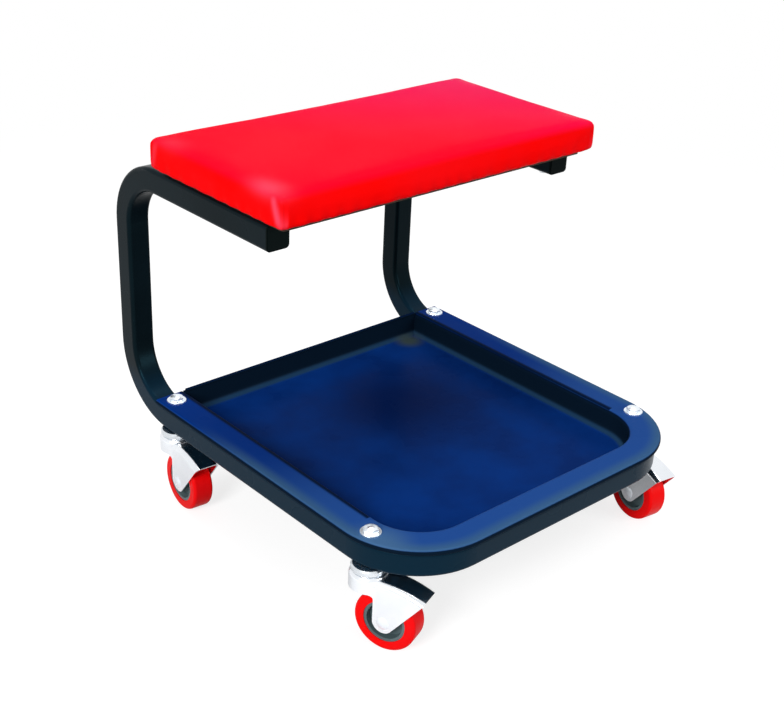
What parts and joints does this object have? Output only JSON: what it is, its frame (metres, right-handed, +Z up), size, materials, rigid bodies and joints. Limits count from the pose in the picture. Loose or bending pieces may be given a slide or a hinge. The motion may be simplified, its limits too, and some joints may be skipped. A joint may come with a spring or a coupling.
{
  "type": "creeper seat",
  "caption": "Rolling workshop seat: padded top on a bent square-tube frame with two cantilever arms, over a pressed tool tray, on swivel casters with hooded forks.",
  "frame": {"origin": "on the floor, under the middle of the outline", "axes": "+Z up; -Y towards the open side, where the arms end; +Y towards the posts; X across the width of the seat"},
  "size_m": [0.412, 0.4684, 0.407],
  "materials": {
    "frame_paint": "semi-gloss near-black paint with a blue-green tint",
    "plug_plastic": "satin black moulded plastic",
    "tray_paint": "gloss dark blue paint",
    "plywood": "raw plywood",
    "foam": "open-cell foam",
    "seat_vinyl": "red upholstery vinyl, soft sheen",
    "zinc_hardware": "bright zinc plate",
    "bright_zinc": "bright plated pressed steel",
    "steel_balls": "polished steel",
    "hub_plastic": "satin grey moulded plastic",
    "tyre_red": "red polyurethane, satin"
  },
  "bodies": {
    "frame": {"frame_tube": "frame_paint", "left_arm_plug": "plug_plastic", "right_arm_plug": "plug_plastic", "tool_tray": "tray_paint", "seat_board": "plywood", "seat_foam": "foam", "seat_cover": "seat_vinyl", "seat_screws": "zinc_hardware", "seat_tee_nuts": "zinc_hardware", "caster_washers": "zinc_hardware", "caster_cap_nuts": "zinc_hardware", "front_left_kingpin": "zinc_hardware", "front_left_king_washer": "zinc_hardware", "front_left_upper_race": "bright_zinc", "front_right_kingpin": "zinc_hardware", "front_right_king_washer": "zinc_hardware", "front_right_upper_race": "bright_zinc", "rear_left_kingpin": "zinc_hardware", "rear_left_king_washer": "zinc_hardware", "rear_left_upper_race": "bright_zinc", "rear_right_kingpin": "zinc_hardware", "rear_right_king_washer": "zinc_hardware", "rear_right_upper_race": "bright_zinc"},
    "front_left_swivel": {"front_left_fork": "bright_zinc", "front_left_axle_rivet": "zinc_hardware", "front_left_sleeve": "zinc_hardware", "front_left_balls": "steel_balls"},
    "front_left_wheel": {"front_left_hub": "hub_plastic", "front_left_tyre": "tyre_red"},
    "front_right_swivel": {"front_right_fork": "bright_zinc", "front_right_axle_rivet": "zinc_hardware", "front_right_sleeve": "zinc_hardware", "front_right_balls": "steel_balls"},
    "front_right_wheel": {"front_right_hub": "hub_plastic", "front_right_tyre": "tyre_red"},
    "rear_left_swivel": {"rear_left_fork": "bright_zinc", "rear_left_axle_rivet": "zinc_hardware", "rear_left_sleeve": "zinc_hardware", "rear_left_balls": "steel_balls"},
    "rear_left_wheel": {"rear_left_hub": "hub_plastic", "rear_left_tyre": "tyre_red"},
    "rear_right_swivel": {"rear_right_fork": "bright_zinc", "rear_right_axle_rivet": "zinc_hardware", "rear_right_sleeve": "zinc_hardware", "rear_right_balls": "steel_balls"},
    "rear_right_wheel": {"rear_right_hub": "hub_plastic", "rear_right_tyre": "tyre_red"}
  },
  "joints": [
    {"name": "front_left_turn", "type": "hinge", "parent": "frame", "child": "front_left_swivel", "pos_m": [-0.1855, -0.16425, 0.0835], "axis": [0, 0, 1], "continuous": true},
    {"name": "front_left_roll", "type": "hinge", "parent": "front_left_swivel", "child": "front_left_wheel", "pos_m": [-0.17726, -0.18572, 0.0315], "axis": [0.9336, 0.3584, 0], "continuous": true},
    {"name": "front_right_turn", "type": "hinge", "parent": "frame", "child": "front_right_swivel", "pos_m": [0.1855, -0.16425, 0.0835], "axis": [0, 0, 1], "continuous": true},
    {"name": "front_right_roll", "type": "hinge", "parent": "front_right_swivel", "child": "front_right_wheel", "pos_m": [0.1821, -0.187, 0.0315], "axis": [0.989, -0.1478, 0], "continuous": true},
    {"name": "rear_left_turn", "type": "hinge", "parent": "frame", "child": "rear_left_swivel", "pos_m": [-0.1865, 0.14825, 0.0835], "axis": [0, 0, 1], "continuous": true},
    {"name": "rear_left_roll", "type": "hinge", "parent": "rear_left_swivel", "child": "rear_left_wheel", "pos_m": [-0.1883, 0.12532, 0.0315], "axis": [0.9969, -0.0785, 0], "continuous": true},
    {"name": "rear_right_turn", "type": "hinge", "parent": "frame", "child": "rear_right_swivel", "pos_m": [0.1865, 0.14825, 0.0835], "axis": [0, 0, 1], "continuous": true},
    {"name": "rear_right_roll", "type": "hinge", "parent": "rear_right_swivel", "child": "rear_right_wheel", "pos_m": [0.18251, 0.1256, 0.0315], "axis": [0.9848, -0.1736, 0], "continuous": true}
  ]
}
